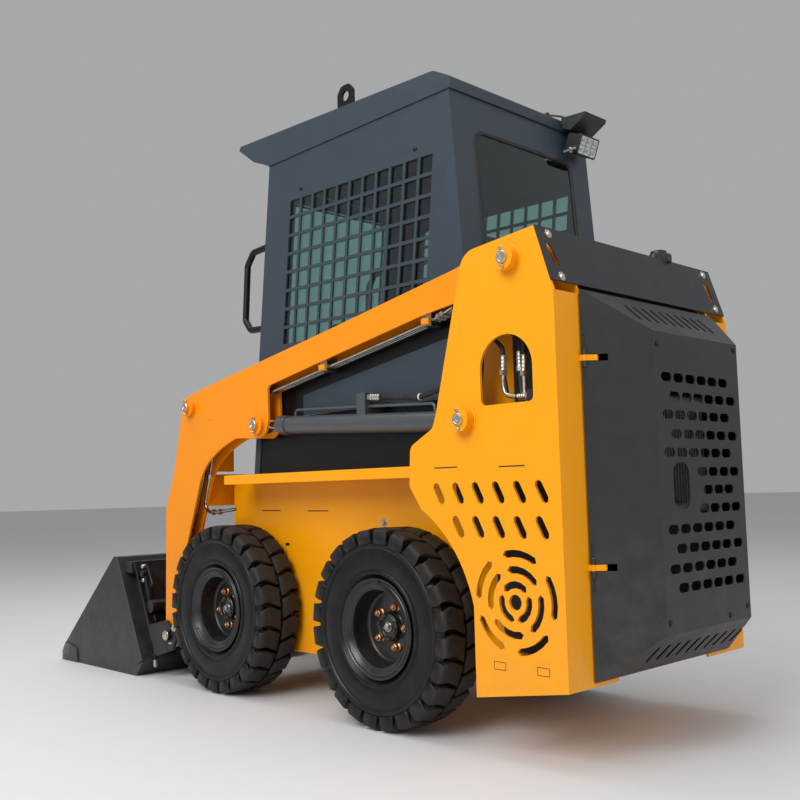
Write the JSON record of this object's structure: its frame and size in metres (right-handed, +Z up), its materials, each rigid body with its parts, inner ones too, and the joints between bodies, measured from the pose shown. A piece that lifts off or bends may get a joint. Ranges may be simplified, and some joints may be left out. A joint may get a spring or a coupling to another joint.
{
  "type": "skid steer loader",
  "caption": "Compact wheeled skid steer loader with an enclosed cab, a lifting boom beside it and a tilting bucket in front.",
  "frame": {"origin": "on the floor under the middle of the machine's box", "axes": "+X forward, towards the bucket; +Y to the machine's left; +Z up"},
  "size_m": [2.8565, 0.956, 2.051],
  "materials": {
    "tower_paint": "gloss paint",
    "boom_paint": "gloss paint",
    "cab_paint": "satin paint",
    "hood_paint": "fine textured paint",
    "black_paint": "satin paint",
    "rim_paint": "satin paint",
    "bucket_paint": "satin paint",
    "cylinder_paint": "gloss paint",
    "rod_chrome": "polished",
    "engine_iron": "as cast",
    "radiator_core": "matt",
    "tyre_rubber": "moulded rubber",
    "window_glass": "tinted, clear",
    "seat_vinyl": "grained vinyl",
    "seat_frame": "moulded",
    "lamp_housing": "moulded",
    "zinc_steel": "zinc plated",
    "hose_rubber": "braided sleeve"
  },
  "bodies": {
    "machine": {"chassis_frame": "tower_paint", "engine_block": "engine_iron", "radiator": "radiator_core", "tower_left": "tower_paint", "tower_right": "tower_paint", "cross_panel": "hood_paint", "engine_cover": "hood_paint", "cab_side_left": "cab_paint", "cab_side_right": "cab_paint", "side_glass_left": "window_glass", "side_glass_right": "window_glass", "cab_base": "black_paint", "cab_rear_panel": "cab_paint", "rear_glass": "window_glass", "cab_front_frame": "cab_paint", "roof_cap": "cab_paint", "lifting_eye_left": "cab_paint", "lifting_eye_right": "cab_paint", "seat_base": "seat_frame", "seat_cushion": "seat_vinyl", "seat_back": "seat_vinyl", "control_console_left": "seat_frame", "control_console_right": "seat_frame", "grab_handle_left": "black_paint", "grab_handle_right": "black_paint", "work_lamp": "lamp_housing", "tower_hoses_left": "hose_rubber", "tower_hoses_right": "hose_rubber"},
    "boom": {"boom_arm_left": "boom_paint", "boom_arm_right": "boom_paint", "boom_beam": "boom_paint", "boom_tubes_left": "zinc_steel", "boom_tubes_right": "zinc_steel"},
    "lift_barrel_left": {"lift_barrel_left": "cylinder_paint", "lift_hose_left": "hose_rubber"},
    "lift_barrel_right": {"lift_barrel_right": "cylinder_paint", "lift_hose_right": "hose_rubber"},
    "lift_rod_left": {"lift_rod_left": "rod_chrome"},
    "lift_rod_right": {"lift_rod_right": "rod_chrome"},
    "tilt_barrel_left": {"tilt_barrel_left": "cylinder_paint"},
    "tilt_barrel_right": {"tilt_barrel_right": "cylinder_paint"},
    "tilt_rod_left": {"tilt_rod_left": "rod_chrome"},
    "tilt_rod_right": {"tilt_rod_right": "rod_chrome"},
    "bucket": {"quick_attach_frame": "black_paint", "quick_attach_lip": "black_paint", "lock_lever_left": "zinc_steel", "lock_lever_right": "zinc_steel", "bucket_shell": "bucket_paint"},
    "cab_door": {"cab_door_frame": "cab_paint", "cab_door_glass": "window_glass"},
    "rear_hood": {"hood_shell": "hood_paint"},
    "wheel_front_left": {"tyre_front_left": "tyre_rubber", "rim_front_left": "rim_paint"},
    "wheel_front_right": {"tyre_front_right": "tyre_rubber", "rim_front_right": "rim_paint"},
    "wheel_rear_left": {"tyre_rear_left": "tyre_rubber", "rim_rear_left": "rim_paint"},
    "wheel_rear_right": {"tyre_rear_right": "tyre_rubber", "rim_rear_right": "rim_paint"}
  },
  "joints": [
    {"name": "wheel_front_left_spin", "type": "hinge", "parent": "machine", "child": "wheel_front_left", "pos_m": [0.2545, 0.3615, 0.294], "axis": [0, 1, 0], "continuous": true},
    {"name": "wheel_front_right_spin", "type": "hinge", "parent": "machine", "child": "wheel_front_right", "pos_m": [0.2545, -0.3615, 0.294], "axis": [0, 1, 0], "continuous": true},
    {"name": "wheel_rear_left_spin", "type": "hinge", "parent": "machine", "child": "wheel_rear_left", "pos_m": [-0.586, 0.3615, 0.294], "axis": [0, 1, 0], "continuous": true},
    {"name": "wheel_rear_right_spin", "type": "hinge", "parent": "machine", "child": "wheel_rear_right", "pos_m": [-0.586, -0.3615, 0.294], "axis": [0, 1, 0], "continuous": true},
    {"name": "boom_lift", "type": "hinge", "parent": "machine", "child": "boom", "pos_m": [-1.143, 0, 1.293], "axis": [0, -1, 0], "range_deg": [0, 60]},
    {"name": "lift_barrel_left_swing", "type": "hinge", "parent": "machine", "child": "lift_barrel_left", "pos_m": [-0.972, 0.38, 0.882], "axis": [0, -1, 0], "range_deg": [0, 60]},
    {"name": "lift_rod_left_slide", "type": "slide", "parent": "lift_barrel_left", "child": "lift_rod_left", "axis": [0.9987, 0, 0.0517], "range_m": [0, 0.45]},
    {"name": "lift_barrel_right_swing", "type": "hinge", "parent": "machine", "child": "lift_barrel_right", "pos_m": [-0.972, -0.38, 0.882], "axis": [0, -1, 0], "range_deg": [0, 60]},
    {"name": "lift_rod_right_slide", "type": "slide", "parent": "lift_barrel_right", "child": "lift_rod_right", "axis": [0.9987, 0, 0.0517], "range_m": [0, 0.45]},
    {"name": "bucket_tilt", "type": "hinge", "parent": "boom", "child": "bucket", "pos_m": [0.59, 0, 0.17], "axis": [0, 1, 0], "range_deg": [-25, 98]},
    {"name": "tilt_barrel_left_swing", "type": "hinge", "parent": "boom", "child": "tilt_barrel_left", "pos_m": [0.448, 0.3, 1.028], "axis": [0, 1, 0], "range_deg": [-3, 3]},
    {"name": "tilt_rod_left_slide", "type": "slide", "parent": "tilt_barrel_left", "child": "tilt_rod_left", "axis": [0.3061, 0, -0.952], "range_m": [-0.06, 0.23]},
    {"name": "tilt_barrel_right_swing", "type": "hinge", "parent": "boom", "child": "tilt_barrel_right", "pos_m": [0.448, -0.3, 1.028], "axis": [0, 1, 0], "range_deg": [-3, 3]},
    {"name": "tilt_rod_right_slide", "type": "slide", "parent": "tilt_barrel_right", "child": "tilt_rod_right", "axis": [0.3061, 0, -0.952], "range_m": [-0.06, 0.23]},
    {"name": "cab_door_swing", "type": "hinge", "parent": "machine", "child": "cab_door", "pos_m": [0.113, 0.2715, 1.222], "axis": [-0.1088, 0, 0.9941], "range_deg": [0, 78]},
    {"name": "rear_hood_swing", "type": "hinge", "parent": "machine", "child": "rear_hood", "pos_m": [-1.29, 0.336, 0.757], "axis": [0, 0, -1], "range_deg": [0, 95]}
  ],
  "couplings": [
    {"joint": "lift_barrel_left_swing", "follows": "boom_lift", "ratio": 0.9464},
    {"joint": "lift_rod_left_slide", "follows": "boom_lift", "m_per_rad": 0.4203},
    {"joint": "lift_barrel_right_swing", "follows": "boom_lift", "ratio": 0.9464},
    {"joint": "lift_rod_right_slide", "follows": "boom_lift", "m_per_rad": 0.4203},
    {"joint": "tilt_barrel_left_swing", "follows": "bucket_tilt", "ratio": 0.02},
    {"joint": "tilt_rod_left_slide", "follows": "bucket_tilt", "m_per_rad": 0.126},
    {"joint": "tilt_barrel_right_swing", "follows": "bucket_tilt", "ratio": 0.02},
    {"joint": "tilt_rod_right_slide", "follows": "bucket_tilt", "m_per_rad": 0.126}
  ]
}
